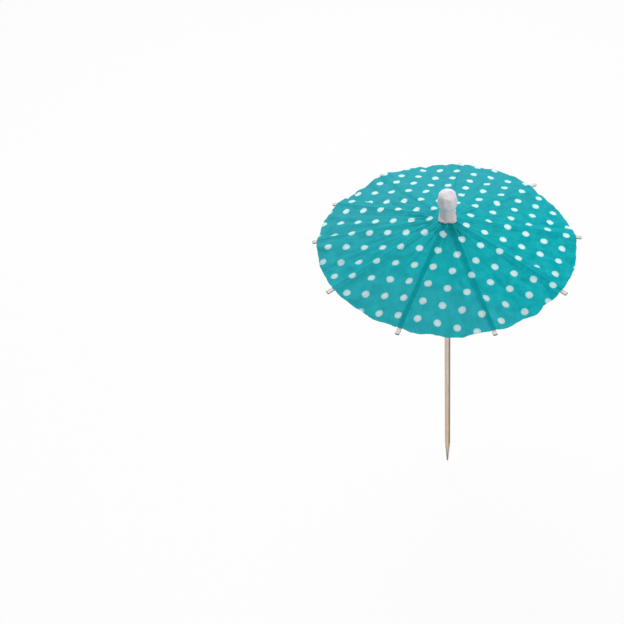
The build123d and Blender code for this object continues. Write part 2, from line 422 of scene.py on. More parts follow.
def blend_colours(tree, factor, first, second, blend_type="MIX"):
    """A Mix node's colour. Its sockets for colours are 6 and 7, and 2 is the blended one."""
    node = put(tree, "ShaderNodeMix", data_type="RGBA", blend_type=blend_type)
    for socket, value in ((0, factor), (6, first), (7, second)):
        feed(tree, node.inputs[socket], value)
    return node.outputs[2]


def ramp(tree, value, low, high, to_low=0.0, to_high=1.0):
    """A smooth Map Range from low..high to to_low..to_high."""
    node = put(tree, "ShaderNodeMapRange", {
        "Value": value, "From Min": low, "From Max": high, "To Min": to_low, "To Max": to_high,
    }, interpolation_type="SMOOTHSTEP")
    return node.outputs["Result"]


def cloudy(tree, place, scale, detail, roughness=0.5, distortion=0.0):
    """A Noise Texture's values."""
    return put(tree, "ShaderNodeTexNoise", {
        "Vector": place, "Scale": scale, "Detail": detail, "Roughness": roughness, "Distortion": distortion,
    }).outputs["Fac"]


def split(tree, place):
    """The X, Y and Z of a place or a direction."""
    return put(tree, "ShaderNodeSeparateXYZ", {"Vector": place}).outputs


def hypotenuse(tree, first, second):
    """Length of the long side over two that meet at a right angle."""
    squares = [times(tree, side, side) for side in (first, second)]
    return calc(tree, "SQRT", calc(tree, "ADD", *squares))


def new_group(name, inputs, outputs):
    """An empty shader node group with named sockets."""
    tree = bpy.data.node_groups.new(name, "ShaderNodeTree")
    for label, kind, default in inputs:
        socket = tree.interface.new_socket(label, in_out="INPUT", socket_type=kind)
        socket.default_value = default
    for label, kind in outputs:
        tree.interface.new_socket(label, in_out="OUTPUT", socket_type=kind)
    start = tree.nodes.new("NodeGroupInput")
    end = tree.nodes.new("NodeGroupOutput")
    return tree, start.outputs, end.inputs


def group(tree, name, feeds):
    """Places a node group and returns its outputs."""
    return put(tree, "ShaderNodeGroup", feeds, node_tree=bpy.data.node_groups[name]).outputs


def build_fibre_group():
    """Paper fibres: cloudy formation, short strands and a fine tooth."""
    tree, given, wanted = new_group("paper fibre", [
        ("Position", "NodeSocketVector", (0, 0, 0)),
        ("Cloud size", "NodeSocketFloat", 3.0),
        ("Fibre size", "NodeSocketFloat", 0.5),
    ], [("Tone", "NodeSocketFloat"), ("Height", "NodeSocketFloat")])
    cloud = cloudy(tree, given["Position"], calc(tree, "DIVIDE", 1.0, given["Cloud size"]), 4.0, 0.6, 0.4)
    strands = []
    for stretch in ((1, 0.18, 0.6), (0.22, 1, 0.6)):
        laid = vector_calc(tree, "MULTIPLY", given["Position"], stretch)
        strands.append(cloudy(tree, laid, calc(tree, "DIVIDE", 1.0, given["Fibre size"]), 2.0, 0.55, 1.4))
    strand = ramp(tree, calc(tree, "MAXIMUM", *strands), 0.45, 0.75)
    formation = ramp(tree, cloud, 0.3, 0.7)
    feed(tree, wanted["Tone"], calc(tree, "MULTIPLY_ADD", formation, 0.65, times(tree, strand, 0.35)))
    feed(tree, wanted["Height"], calc(tree, "MULTIPLY_ADD", strand, 0.6, times(tree, cloud, 0.4)))


def build_dot_group():
    """A square lattice of round dots on a flat sheet, with a slightly uneven edge."""
    tree, given, wanted = new_group("polka dots", [
        ("Sheet", "NodeSocketVector", (0, 0, 0)),
        ("Pitch", "NodeSocketFloat", 7.4),
        ("Turn", "NodeSocketFloat", 0.0),
        ("Offset", "NodeSocketVector", (0, 0, 0)),
        ("Radius", "NodeSocketFloat", 1.5),
        ("Softness", "NodeSocketFloat", 0.08),
        ("Soaked", "NodeSocketFloat", 1.2),
        ("Wobble", "NodeSocketFloat", 0.24),
    ], [("Mask", "NodeSocketFloat"), ("Edge", "NodeSocketFloat")])
    turned = put(tree, "ShaderNodeVectorRotate", {
        "Vector": given["Sheet"], "Angle": times(tree, given["Turn"], -1.0),
    }, rotation_type="Z_AXIS").outputs["Vector"]
    pitch = put(tree, "ShaderNodeCombineXYZ", {
        "X": given["Pitch"], "Y": given["Pitch"], "Z": 1.0}).outputs["Vector"]
    cell = vector_calc(tree, "SUBTRACT", vector_calc(tree, "DIVIDE", turned, pitch), given["Offset"])
    cell = vector_calc(tree, "FRACTION", vector_calc(tree, "ADD", cell, (0.5, 0.5, 0.5)))
    cell = vector_calc(tree, "SUBTRACT", cell, (0.5, 0.5, 0.5))
    sides = split(tree, cell)
    away = times(tree, hypotenuse(tree, sides["X"], sides["Y"]), given["Pitch"])
    stray = calc(tree, "SUBTRACT", cloudy(tree, given["Sheet"], 0.9, 3.0), 0.5)
    away = calc(tree, "MULTIPLY_ADD", stray, given["Wobble"], away)
    low = calc(tree, "SUBTRACT", given["Radius"], given["Softness"])
    high = calc(tree, "ADD", given["Radius"], given["Softness"])
    feed(tree, wanted["Mask"], ramp(tree, away, low, high, 1.0, 0.0))
    inside = calc(tree, "SUBTRACT", given["Radius"], given["Soaked"])
    feed(tree, wanted["Edge"], ramp(tree, away, inside, low))


def new_material(name, **sockets):
    """A material with a Principled BSDF whose plain sockets are set."""
    material = bpy.data.materials.new(name)
    material.use_nodes = True
    tree = material.node_tree
    shader = tree.nodes["Principled BSDF"]
    for label, value in sockets.items():
        shader.inputs[label.replace("_", " ")].default_value = value
    return material, tree, shader


def object_millimetres(tree):
    """The piece's own coordinates, in millimetres."""
    place = put(tree, "ShaderNodeTexCoord").outputs["Object"]
    return vector_calc(tree, "MULTIPLY", place, (1000, 1000, 1000))


def sheet_millimetres(tree):
    """Place on the flat paper disc, in millimetres from its centre."""
    place = put(tree, "ShaderNodeUVMap", uv_map="flat_disc").outputs["UV"]
    span = SHEET_SPAN / MM
    centred = vector_calc(tree, "SUBTRACT", place, (0.5, 0.5, 0))
    return vector_calc(tree, "MULTIPLY", centred, (span, span, 0))


def bump(tree, shader, height, depth, strength=1.0):
    """Feeds a height in 0..1 to the shader's normal as a relief of that depth."""
    node = put(tree, "ShaderNodeBump", {"Height": height, "Distance": depth, "Strength": strength})
    tree.links.new(node.outputs["Normal"], shader.inputs["Normal"])


def over_sheet(tree, sheet, change):
    """A mask that grows over the flat sheet in one direction."""
    direction, start, end, strength = change
    place = vector_calc(tree, "DOT_PRODUCT", sheet, direction, result="Value")
    reach = PAPER_RADIUS / MM
    return ramp(tree, place, start * reach, end * reach, 0.0, strength)


def mottled(tree, tone, rgb):
    """A colour that is lighter or darker with the paper's fibres."""
    dark = [(1 - MOTTLE) * c for c in rgb]
    light = [min((1 + MOTTLE) * c, 1) for c in rgb]
    return blend_colours(tree, tone, colour(dark), colour(light))


def carried(tree, mark):
    """A value that the points of a sheet carry."""
    return put(tree, "ShaderNodeAttribute", attribute_name=mark).outputs["Fac"]


def printed_paper(name, paper, dot_strength, ink, thin_ink, sheen, lit, glued_and_shaded, dots, lit_dots):
    """Canopy paper: fibres under the ink, round unprinted dots, a dark band over each rib that is partly
    glue and partly painted shade, a painted highlight beside it, and painted sheen and light on the teal
    and the dots.
    """
    material, tree, shader = new_material(name, Specular_IOR_Level=0.02)
    sheet = sheet_millimetres(tree)
    fibre = group(tree, "paper fibre", {"Position": sheet, "Cloud size": 4.0, "Fibre size": 0.35})
    tone = fibre["Tone"]
    dot = group(tree, "polka dots", {
        "Sheet": sheet, "Pitch": paper.dot_pitch / MM, "Turn": paper.dot_turn,
        "Offset": (*paper.dot_offset, 0), "Radius": paper.dot_diameter / MM / 2, "Softness": 0.1,
    })

    inked = blend_colours(tree, tone, colour(ink), colour(thin_ink))
    # Painted sheen: lighter teal towards the left of the sheet.
    inked = blend_colours(tree, over_sheet(tree, sheet, SHEEN), inked, mottled(tree, tone, sheen))
    # Painted light: lighter teal towards the back and the front left.
    lit_masks = [over_sheet(tree, sheet, change) for change in (LIT_BEHIND, LIT_IN_FRONT)]
    inked = blend_colours(tree, calc(tree, "MAXIMUM", *lit_masks), inked, mottled(tree, tone, lit))

    from_rib, shows, left_side = [carried(tree, mark) for mark in MARKS]
    # Dark band over each rib: partly glue, partly painted shade.
    width = calc(tree, "MULTIPLY_ADD", shows, GLUE_AND_SHADE_GROWTH, GLUE_AND_SHADE_WIDTH)
    band = ramp(tree, calc(tree, "SUBTRACT", from_rib, width), -0.1, 0.15, 1.0, 0.0)
    glue = times(tree, band, ramp(tree, tone, 0.0, 1.0, 1.0, 0.7), calc(tree, "POWER", shows, 0.7))
    inked = blend_colours(tree, glue, inked, colour(glued_and_shaded))
    # Painted highlight: a pale line beside the band on the left half of each rib.
    from_highlight = calc(tree, "SUBTRACT", from_rib, calc(tree, "ADD", width, HIGHLIGHT_AWAY))
    highlight = ramp(tree, calc(tree, "ABSOLUTE", from_highlight), 0.05, 0.3, 0.5, 0.0)
    highlight = times(tree, highlight, left_side, shows, shows, ramp(tree, tone, 0.3, 0.7))
    inked = blend_colours(tree, highlight, inked, colour([min(1.35 * c + 0.01, 1) for c in thin_ink]))

    # Painted light: dots whiter towards the back.
    bare = blend_colours(tree, over_sheet(tree, sheet, LIT_DOTS), colour(dots), colour(lit_dots))
    bare = blend_colours(tree, 1.0, bare, ramp(tree, tone, 0.0, 1.0, 0.9, 1.0), "MULTIPLY")
    bare = blend_colours(tree, times(tree, glue, 0.25), bare, colour(glued_and_shaded))
    bare = blend_colours(tree, dot["Edge"], bare, colour(paper.soak_tint), "MULTIPLY")
    printed = blend_colours(tree, times(tree, dot["Mask"], dot_strength), inked, bare)
    feed(tree, shader.inputs["Base Color"], printed)
    feed(tree, shader.inputs["Roughness"], ramp(tree, tone, 0.0, 1.0, 0.62, 0.78))
    bump(tree, shader, fibre["Height"], 0.02 * MM, 0.6)
    return material


def plain_paper(name, light, shade, cloud_size, fibre_size, depth):
    """Unprinted paper with its fibres: the material, its tree, its shader and its colour."""
    material, tree, shader = new_material(name, Specular_IOR_Level=0.25)
    fibre = group(tree, "paper fibre", {
        "Position": object_millimetres(tree), "Cloud size": cloud_size, "Fibre size": fibre_size})
    face = blend_colours(tree, fibre["Tone"], colour(shade), colour(light))
    feed(tree, shader.inputs["Base Color"], face)
    feed(tree, shader.inputs["Roughness"], ramp(tree, fibre["Tone"], 0.0, 1.0, 0.7, 0.85))
    bump(tree, shader, fibre["Height"], depth, 0.7)
    return material, tree, shader, face


def dress(nodes, material):
    """Gives CAD nodes a material."""
    for name in nodes:
        slots = frame["nodes"][name].data.materials
        slots.clear()
        slots.append(material)


def select_only(obj):
    """Makes one object the selected and active one."""
    bpy.ops.object.select_all(action="DESELECT")
    obj.select_set(True)
    bpy.context.view_layer.objects.active = obj


def name_piece(name):
    """Names the object that an operator has just added."""
    obj = bpy.context.active_object
    obj.name = name
    obj.data.name = name
    return obj


def apply_modifiers(obj):
    """Makes an object's modifiers part of its mesh."""
    select_only(obj)
    for modifier in list(obj.modifiers):
        bpy.ops.object.modifier_apply(modifier=modifier.name)


def rib_direction(turn):
    """Unit vector down the crease of the rib at that turn from +X."""
    level = math.cos(SLOPE)
    return Vector((level * math.cos(turn), level * math.sin(turn), -math.sin(SLOPE)))


def half_gap(rib, side):
    """Half the turn from a rib to its neighbour on that side, 1 for anticlockwise or -1."""
    gap = side * (RIB_TURNS[(rib - 1 + side) % RIB_COUNT] - RIB_TURNS[rib - 1])
    return gap % (2 * math.pi) / 2


def level_vector(turn, length=1):
    """A level vector of that length at a turn from +X."""
    return Vector((length * math.cos(turn), length * math.sin(turn), 0))


def wrinkle(kind, on_rim, outward):
    """Noise round the sheet that changes more slowly outwards."""
    waves, change, start = kind
    return noise.noise(on_rim * waves + outward * change + Vector((0, 0, start)))


def ripple(kind, spot):
    """Noise of one size all over the sheet."""
    waves, start = kind
    return noise.noise(spot * (waves / MM) + Vector((0, 0, start)))


def old_fold_lift(paper, panel, across, width, out):
    """Depth of the creases left in a panel: a quick step away from the nearer rib, then a slow rise."""
    lift = 0
    for number, place, step in OLD_FOLDS:
        if number == panel:
            inward = 1 if place < 0.5 else -1
            past = inward * (across - place) * width / MM
            low = smooth_step(-FOLD_HALF_WIDTH, FOLD_HALF_WIDTH, past)
            low *= math.exp(-max(past - FOLD_HALF_WIDTH, 0) / FOLD_RECOVERY)
            lift -= paper.fold_step * step * low * smooth_step(*FOLD_GROWS, out)
    return lift


def panel_droop(paper, panel, out, share, from_fold):
    """Hang of the sheet between two ribs, with the old fold along the panel's middle."""
    hang = 1 - (1 - share) ** 2.4
    width = paper.pleat_width * (0.3 + 0.7 * out)
    fold = math.exp(-((from_fold / width) ** 1.2))
    return -paper.sag[panel - 1] * out * ((1 - paper.pleat_share) * hang + paper.pleat_share * fold)


def rib_relief(paper, rib, out, share, edge):
    """Ridge of the paper glued over a rib, and the tuck beside it."""
    ridge = paper.ridge_height * (1 - smooth_step(*RIDGE_EDGE, edge))
    past = max(edge - TUCK_EDGE[1], 0)
    tuck = paper.tuck_depth[rib - 1] * smooth_step(*TUCK_EDGE, edge)
    tuck *= math.exp(-((past / TUCK_WIDTH) ** 1.3))
    by_cap = TUCK_BY_CAP * (1 - smooth_step(*BY_CAP, out))
    tuck *= by_cap + TUCK_LEAST + TUCK_BY_GLUE_AND_SHADE * paper.glue_and_shade_strength[rib - 1]
    return ridge - tuck * smooth_step(0, 0.4, 1 - share)


def crumpled(paper, out, reach, spot):
    """Wrinkles from the cap outwards, slow waves, and the crumple all over the sheet."""
    on_rim = spot.normalized()
    outward = Vector((0, 0, reach / MM))
    fine = wrinkle(FINE_WRINKLES, on_rim, outward) * (1.1 - out)
    soft = wrinkle(SOFT_WRINKLES, on_rim, outward) * out
    sharp = (1 - 2 * abs(wrinkle(SHARP_WRINKLES, on_rim, outward))) * (0.25 + 0.75 * out)
    radial = sum(share * value for share, value in zip(WRINKLE_SHARES, (fine, soft, sharp)))
    web = (1 - abs(ripple(WEB, spot))) ** 5
    lines = (1 - abs(wrinkle(CREASED_LINES, on_rim, spot / MM))) ** 7
    small = CRUMPLE_SHARES["grain"] * ripple(GRAIN, spot) + ripple(PATCHES, spot)
    small += CRUMPLE_SHARES["web"] * web - CRUMPLE_SHARES["lines"] * lines * out
    return paper.crinkle * radial + paper.wave * ripple(SLOW_WAVES, spot) * out + paper.crumple * small


def paper_lift(paper, rib, panel, across, reach, from_rib, from_fold, spot):
    """Height of the sheet over its panel's flat plane."""
    out = reach / PAPER_RADIUS
    edge = from_rib / MM
    free_width = max(from_rib - RIB_HALF_WIDTH, 0)
    share = free_width / (free_width + from_fold + 1e-9)
    relief = smooth_step(*CLEAR_OF_CAP, reach / MM) * rib_relief(paper, rib, out, share, edge)
    uneven = crumpled(paper, out, reach, spot)
    uneven += old_fold_lift(paper, panel, across, 2 * (from_rib + from_fold), out)
    free = smooth_step(*FREE_EDGE, edge) * smooth_step(0, FREE_OF_FOLD * (0.3 + out), from_fold)
    return panel_droop(paper, panel, out, share, from_fold) + relief + free * uneven


def rim_reach(paper, rib, side, share, angle, turn):
    """Radius of the hand-cut rim at a place between a rib and its panel's middle."""
    at_rib = paper.rim_at_ribs[rib - 1]
    at_middle = paper.rim_at_middles[rib - 1 if side > 0 else rib - 2]
    gap = half_gap(rib, side)
    chord = math.sin(gap) / (math.sin(gap * (1 - share)) / at_rib + math.sin(gap * share) / at_middle)
    arc = at_rib + (at_middle - at_rib) * share
    cut = STRAIGHT_CUTS * chord + (1 - STRAIGHT_CUTS) * arc
    for place, stands_out in RIM_CORNERS:
        away = abs((angle - math.radians(place) + math.pi) % (2 * math.pi) - math.pi)
        cut += stands_out * MM * max(1 - away / CORNER_WIDTH, 0)
    on_rim = level_vector(angle)
    stray = wrinkle(RIM_STRAYS, on_rim, on_rim)
    snip = max(wrinkle(RIM_SNIPS, on_rim, on_rim) - SNIP_LEAST, 0)
    notch = NOTCH_DEPTH * math.exp(-((PAPER_RADIUS * turn / NOTCH_WIDTH) ** 2))
    return cut + paper.rim_wander * (STRAY_SHARE * stray - SNIP_SHARE * snip) - notch


def make_half_panel(paper, rib, side):
    """Models the half panel on one side of a rib as a sheet from the rib's crease to the panel's middle."""
    gap = half_gap(rib, side)
    own = rib_direction(RIB_TURNS[rib - 1])
    other = rib_direction(RIB_TURNS[rib - 1] + side * 2 * gap)
    middle = (own + other).normalized()
    across = (other - own).normalized()
    up = middle.cross(across) * side
    half = own.angle(middle)
    panel = rib if side > 0 else (rib - 2) % RIB_COUNT + 1
    bpy.ops.object.select_all(action="DESELECT")
    bpy.ops.mesh.primitive_grid_add(x_subdivisions=SHEET_COLUMNS + 1, y_subdivisions=SHEET_ROWS, size=1)
    sheet = name_piece(f"canopy_{'left' if side > 0 else 'right'}_{rib:02d}")
    for mark in MARKS:
        sheet.data.attributes.new(mark, "FLOAT", "POINT")
    marks = [sheet.data.attributes[mark].data for mark in MARKS]
    spots = []
    for vertex in sheet.data.vertices:
        column = (0.5 - side * vertex.co.x) * (SHEET_COLUMNS + 1) / SHEET_COLUMNS
        share = 0.5 - 0.5 * math.cos(math.pi * min(column, 1))
        turn = half * share
        angle = RIB_TURNS[rib - 1] + side * gap * share
        rim = rim_reach(paper, rib, side, share, angle, turn)
        out = vertex.co.y + 0.5
        reach = PAPER_HOLE + (rim - PAPER_HOLE) * out
        from_rib = reach * math.sin(turn)
        from_fold = reach * math.sin(half - turn)
        across_panel = share / 2 if side > 0 else 1 - share / 2
        spot = level_vector(angle, reach)
        lift = paper_lift(paper, rib, panel, across_panel, reach, from_rib, from_fold, spot)
        if column > PAST_MIDDLE:
            lap = paper.lap_at_hub + (paper.lap_at_rim - paper.lap_at_hub) * out
            turn += lap * math.cos(paper.lap_bend) / reach
            lift -= lap * math.sin(paper.lap_bend)
            spot = level_vector(angle + side * gap * lap / reach / half, reach)
        flat = middle * math.cos(half - turn) - across * math.sin(half - turn)
        vertex.co = APEX + flat * reach + up * lift
        for mark, value in zip(marks, (from_rib / MM, paper.glue_and_shade_strength[rib - 1], max(side, 0))):
            mark[vertex.index].value = value
        spots.append(spot)
    layer = sheet.data.uv_layers[0]
    layer.name = "flat_disc"
    for loop in sheet.data.loops:
        spot = spots[loop.vertex_index]
        layer.data[loop.index].uv = (0.5 + spot.x / SHEET_SPAN, 0.5 + spot.y / SHEET_SPAN)
    solid = sheet.modifiers.new("paper", "SOLIDIFY")
    solid.thickness = paper.thickness
    solid.offset = -1
    solid.material_offset = 1
    return sheet


class UMBRELLA_OT_canopy(bpy.types.Operator):
    """Model the pleated paper canopy, one sheet on each side of every rib"""

    bl_idname = "umbrella.canopy"
    bl_label = "Canopy"

    def execute(self, context):
        paper = context.scene.umbrella.canopy
        top = printed_paper(
            "teal printed paper", paper, dot_strength=0.97,
            ink=paper.print_colour, thin_ink=paper.worn_colour, sheen=paper.sheen_colour,
            lit=paper.lit_print_colour, glued_and_shaded=paper.glue_and_shade_colour,
            dots=paper.dot_colour, lit_dots=paper.lit_dot_colour)
        back = paper.back_colour
        under = printed_paper(
            "teal print from below", paper, dot_strength=0.6,
            ink=back, thin_ink=back, sheen=back, lit=back, glued_and_shaded=paper.print_colour,
            dots=paper.dot_colour, lit_dots=paper.dot_colour)
        for rib in RIBS:
            for side, hand in ((1, "left"), (-1, "right")):
                sheet = make_half_panel(paper, rib, side)
                sheet.data.materials.append(top)
                sheet.data.materials.append(under)
                apply_modifiers(sheet)
                bpy.ops.object.shade_smooth_by_angle(angle=CREASE_ANGLE)
                node = f"paper_{hand}_{rib:02d}"
                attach(sheet, node)
                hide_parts(node)
        return {"FINISHED"}


class UMBRELLA_OT_cap(bpy.types.Operator):
    """Model the white paper cap: drawn in over the pick, folded flat here and there"""

    bl_idname = "umbrella.cap"
    bl_label = "Cap"

    # Rings from the hem up: share of the height, and shares of the hem's, the neck's and the bulb's radius
    RINGS = (
        (0.04, 0.9, 0.1, 0), (0.11, 0.3, 0.7, 0), (0.22, 0, 1, 0), (0.38, 0, 1, 0), (0.44, 0, 0.75, 0.25),
        (0.52, 0, 0.25, 0.75), (0.60, 0, 0, 1), (0.70, 0, 0, 0.985), (0.79, 0, 0, 0.92), (0.86, 0, 0, 0.81),
        (0.915, 0, 0, 0.64), (0.95, 0, 0, 0.42), (0.965, 0, 0, 0.2),
    )
    # Pleats over the hem or the neck: turn from +X and half width in degrees, heights, factor on the radius
    HEM = (-0.1, 0.06)
    NECK = (0.05, 0.42)
    PLEATS = (
        (221, 17, HEM, 1.20), (320, 15, HEM, 1.16), (268, 16, HEM, 0.95), (90, 40, HEM, 1.06),
        (238, 10, NECK, 0.95), (292, 9, NECK, 0.96), (350, 12, NECK, 0.95), (60, 12, NECK, 0.95),
        (130, 10, NECK, 0.94), (185, 10, NECK, 0.95),
    )
    # Places where the torn hem rises or falls: turn from +X in degrees, and rise in mm
    TEARS = ((240, 0.5), (258, -0.3), (280, 0.35), (300, -0.35), (30, 0.4), (110, -0.3), (165, 0.4))
    TEAR_HALF_WIDTH = math.radians(5)
    # Flats where the paper is folded over: turn from +X, tilt up from level, in degrees, and depth in mm
    FLATS = (
        (299, 54, 0.8), (226, 3, 0.4), (320, 4, 0.35), (272, 10, 0.3), (12, 12, 0.2),
        (68, 12, 0.3), (122, 20, 0.2), (176, 8, 0.2),
    )
    BULGE = CAP_BASE + 0.58 * CAP_HEIGHT
    SKIN_MESH = 0.12 * MM
    SOCKET_GAP = 0.03 * MM
    # Top of the painted warm shade round the neck.
    WARM_SHADE_TOP = (CAP_BASE + 0.45 * CAP_HEIGHT) / MM

    def execute(self, context):
        cap = context.scene.umbrella.cap
        piece = self.turn_rings(cap)
        self.skin(piece)
        bpy.ops.object.mode_set(mode="EDIT")
        for turn, tilt, depth in self.FLATS:
            self.fold_flat(cap, math.radians(turn), math.radians(tilt), depth * MM)
        bpy.ops.object.mode_set(mode="OBJECT")
        self.skin(piece)
        self.crumple(cap, piece)
        self.open_socket(piece)
        piece.data.materials.append(self.warm_shaded_paper(cap))
        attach(piece, "root")
        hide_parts("finial_cap")
        return {"FINISHED"}

    def warm_shaded_paper(self, cap):
        """White paper, with a painted warm shade round the neck that offsets the teal light bounced up from
        the canopy.
        """
        material, tree, shader, face = plain_paper(
            "white cap paper", cap.paper_colour, cap.shade_colour, 2.5, 0.3, 0.03 * MM)
        place = object_millimetres(tree)
        # Painted warm shade round the neck, against the teal light bounced up from the canopy.
        level = calc(tree, "MULTIPLY_ADD", cloudy(tree, place, 0.6, 2.0), 3.0, split(tree, place)["Z"])
        warm_shade = ramp(tree, level, self.WARM_SHADE_TOP, self.WARM_SHADE_TOP + 2.5, 0.65, 0.0)
        feed(tree, shader.inputs["Base Color"], blend_colours(tree, warm_shade, face, colour(cap.warm_shade_colour)))
        return material

    def turn_rings(self, cap):
        """Extrudes a filled circle upwards ring by ring, and pinches the hem and the neck into pleats."""
        bpy.ops.object.select_all(action="DESELECT")
        bpy.ops.mesh.primitive_circle_add(
            vertices=64, radius=cap.hem_radius, fill_type="NGON", location=(0, 0, CAP_BASE))
        piece = name_piece("cap_paper")
        bpy.ops.object.transform_apply(location=True)
        bpy.ops.object.mode_set(mode="EDIT")
        level, radius = 0, cap.hem_radius
        for share, hem, neck, bulb in self.RINGS:
            rise = (share - level) * CAP_HEIGHT
            bpy.ops.mesh.extrude_region_move(TRANSFORM_OT_translate={"value": (0, 0, rise)})
            wide = hem * cap.hem_radius + neck * cap.neck_radius + bulb * cap.bulb_radius
            self.draw_in(wide / radius, CAP_BASE + share * CAP_HEIGHT)
            level, radius = share, wide
        for turn, width, (low, high), factor in self.PLEATS:
            self.select_wedge(piece, turn, math.radians(width), low * CAP_HEIGHT, high * CAP_HEIGHT)
            self.draw_in(factor, CAP_BASE)
        for turn, rise in self.TEARS:
            self.select_wedge(piece, turn, self.TEAR_HALF_WIDTH, -MM, 0.02 * CAP_HEIGHT)
            bpy.ops.transform.translate(value=(0, 0, rise * MM))
        bpy.ops.mesh.select_all(action="SELECT")
        bpy.ops.mesh.normals_make_consistent(inside=False)
        bpy.ops.object.mode_set(mode="OBJECT")
        return piece

    def draw_in(self, factor, level):
        """Draws what is selected in towards the axis, or out."""
        bpy.ops.transform.resize(value=(factor, factor, 1), center_override=(0, 0, level))

    def skin(self, piece):
        """Gives the piece an even closed skin."""
        remesh = piece.modifiers.new("skin", "REMESH")
        remesh.mode = "VOXEL"
        remesh.voxel_size = self.SKIN_MESH
        apply_modifiers(piece)

    def select_wedge(self, piece, degrees, width, low, high):
        """Selects the vertices about a turn from +X and between two heights over the hem."""
        bpy.ops.mesh.select_all(action="DESELECT")
        bpy.ops.object.mode_set(mode="OBJECT")
        out = level_vector(math.radians(degrees))
        for vertex in piece.data.vertices:
            flat = Vector((vertex.co.x, vertex.co.y, 0))
            near = flat.length > 0 and flat.normalized().dot(out) > math.cos(width)
            vertex.select = near and low < vertex.co.z - CAP_BASE < high
        bpy.ops.object.mode_set(mode="EDIT")

    def fold_flat(self, cap, turn, tilt, depth):
        """Cuts one flat on the bulb or crown."""
        away = math.hypot(cap.bulb_radius * math.cos(tilt), (CAP_TOP - self.BULGE) * math.sin(tilt)) - depth
        normal = level_vector(turn, math.cos(tilt)) + Vector((0, 0, math.sin(tilt)))
        bpy.ops.mesh.select_all(action="SELECT")
        bpy.ops.mesh.bisect(plane_co=Vector((0, 0, self.BULGE)) + normal * away, plane_no=normal,
                            use_fill=True, clear_outer=True, threshold=0.0001 * MM)

    def crumple(self, cap, piece):
        """Rounds the folds and crumples the paper."""
        select_only(piece)
        soften = piece.modifiers.new("soften", "SMOOTH")
        soften.iterations = 3
        for name, size, share in (("creases", 2.2 * MM, 1.0), ("grain", 0.6 * MM, 0.3)):
            texture = bpy.data.textures.new(name, "CLOUDS")
            texture.noise_scale = size
            texture.noise_depth = 2
            displace = piece.modifiers.new(name, "DISPLACE")
            displace.texture = texture
            displace.texture_coords = "LOCAL"
            displace.strength = share * cap.crumple
        apply_modifiers(piece)

    def open_socket(self, piece):
        """Sinks the hole for the pick into the underside."""
        bpy.ops.object.select_all(action="DESELECT")
        bpy.ops.mesh.primitive_cylinder_add(
            vertices=40, radius=STICK_RADIUS + self.SOCKET_GAP,
            depth=2 * (STICK_TOP + self.SOCKET_GAP - CAP_BASE), location=(0, 0, CAP_BASE))
        drill = name_piece("cap_socket")
        bore = piece.modifiers.new("bore", "BOOLEAN")
        bore.operation = "DIFFERENCE"
        bore.solver = "EXACT"
        bore.object = drill
        apply_modifiers(piece)
        bpy.ops.object.shade_smooth_by_angle(angle=math.radians(50))
        bpy.data.objects.remove(drill)


class UMBRELLA_OT_pick(bpy.types.Operator):
    """Finish the wooden pick"""

    bl_idname = "umbrella.pick"
    bl_label = "Pick"

    # Heights in mm between which the wood turns redder, and the length of the darkened point
    WARM = (20.0, 34.0)
    DARK_POINT = 14.0

    def execute(self, context):
        wood = context.scene.umbrella.wood
        material, tree, shader = new_material("birch", Specular_IOR_Level=0.3)
        place = object_millimetres(tree)
        sides = split(tree, place)
        drawn = vector_calc(tree, "MULTIPLY", place, (1, 1, 0.05))
        grain = cloudy(tree, drawn, MM / wood.grain, 5.0, 0.6, 0.3)
        pores = cloudy(tree, vector_calc(tree, "MULTIPLY", place, (1, 1, 0.12)), 7.0, 2.0)
        tone = calc(tree, "MAXIMUM", times(tree, ramp(tree, grain, 0.35, 0.7), 0.7),
                    times(tree, ramp(tree, pores, 0.58, 0.72), 0.6))
        timber = blend_colours(tree, tone, colour(wood.pale_colour), colour(wood.dark_colour))
        warm = ramp(tree, sides["Z"], *self.WARM, 0.9, 0.0)
        timber = blend_colours(tree, warm, timber, colour(wood.warm_tint), "MULTIPLY")
        radius = STICK_RADIUS / MM
        # Painted shade down the pick's front-right side, fading towards the back, and darker wood over the
        # last part towards the point.
        edge = calc(tree, "MULTIPLY_ADD", grain, 0.3, calc(tree, "SUBTRACT", sides["X"], 0.15))
        shade_and_point = ramp(tree, edge, 0.12 * radius, 0.68 * radius, 0.0, 0.95)
        behind = calc(tree, "MULTIPLY_ADD", grain, 0.5, sides["Y"])
        shade_and_point = times(tree, shade_and_point, ramp(tree, behind, 0.3 * radius, 0.8 * radius, 1.0, 0.0))
        tip = FLOOR_HEIGHT / MM
        shade_and_point = calc(tree, "MAXIMUM", shade_and_point, ramp(tree, sides["Z"], tip, tip + self.DARK_POINT, 0.9, 0.0))
        timber = blend_colours(tree, shade_and_point, timber, colour(wood.shade_and_point_colour))
        feed(tree, shader.inputs["Base Color"], timber)
        feed(tree, shader.inputs["Roughness"], ramp(tree, grain, 0.3, 0.7, 0.55, 0.72))
        bump(tree, shader, grain, 0.03 * MM, 0.6)
        dress(["stick"], material)
        return {"FINISHED"}


